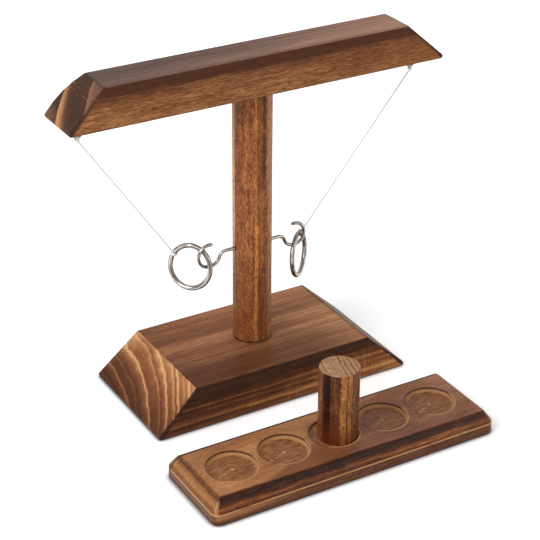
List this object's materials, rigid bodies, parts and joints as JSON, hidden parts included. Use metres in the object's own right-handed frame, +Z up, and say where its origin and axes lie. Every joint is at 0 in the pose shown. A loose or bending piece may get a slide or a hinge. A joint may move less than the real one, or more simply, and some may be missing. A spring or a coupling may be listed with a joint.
{
  "type": "ring toss game",
  "caption": "Wooden tabletop ring toss game with a post, cross beam, steel rings on strings, screw hooks, and a score board with round recesses and a loose peg.",
  "frame": {"origin": "centre of the base block's underside, on the post's axis", "axes": "+X along the beam to the right, +Y away from the players' score board, +Z up"},
  "size_m": [0.309, 0.2203, 0.271],
  "materials": {
    "base_wood": "walnut-brown stained wood with burnt-in dark grain, satin",
    "post_wood": "dark stained wood with streaks along the post, satin",
    "beam_wood": "walnut-brown stained wood with fine long grain, satin",
    "board_wood": "stained wood under a smooth clear lacquer",
    "peg_wood": "dark stained wood with a lighter end grain, satin",
    "plated_steel": "polished nickel plate",
    "string": "thin white twisted thread"
  },
  "bodies": {
    "stand": {"base_block": "base_wood", "post": "post_wood", "beam": "beam_wood", "base_screws": "plated_steel", "left_hook": "plated_steel", "right_hook": "plated_steel", "left_eye": "plated_steel", "right_eye": "plated_steel", "left_eye_knot": "string", "right_eye_knot": "string", "left_string": "string", "right_string": "string"},
    "left_ring": {"left_ring": "plated_steel", "left_ring_knot": "string"},
    "right_ring": {"right_ring": "plated_steel", "right_ring_knot": "string"},
    "ladder": {"ladder_board": "board_wood"},
    "peg": {"peg": "peg_wood"}
  },
  "joints": [
    {"name": "left_ring_swing", "type": "hinge", "parent": "stand", "child": "left_ring", "pos_m": [-0.03715, 0, 0.11241], "axis": [0, 1, 0], "range_deg": [0, 155], "deforming": ["left_string"]},
    {"name": "right_ring_swing", "type": "hinge", "parent": "stand", "child": "right_ring", "pos_m": [0.03715, 0, 0.11241], "axis": [0, -1, 0], "range_deg": [0, 190], "deforming": ["right_string"]},
    {"name": "ladder_slide", "type": "slide", "parent": "stand", "child": "ladder", "axis": [0, -1, 0], "range_m": [-0.03, 0.1]},
    {"name": "peg_lift", "type": "slide", "parent": "ladder", "child": "peg", "axis": [0, 0, 1], "range_m": [0, 0.06]}
  ]
}
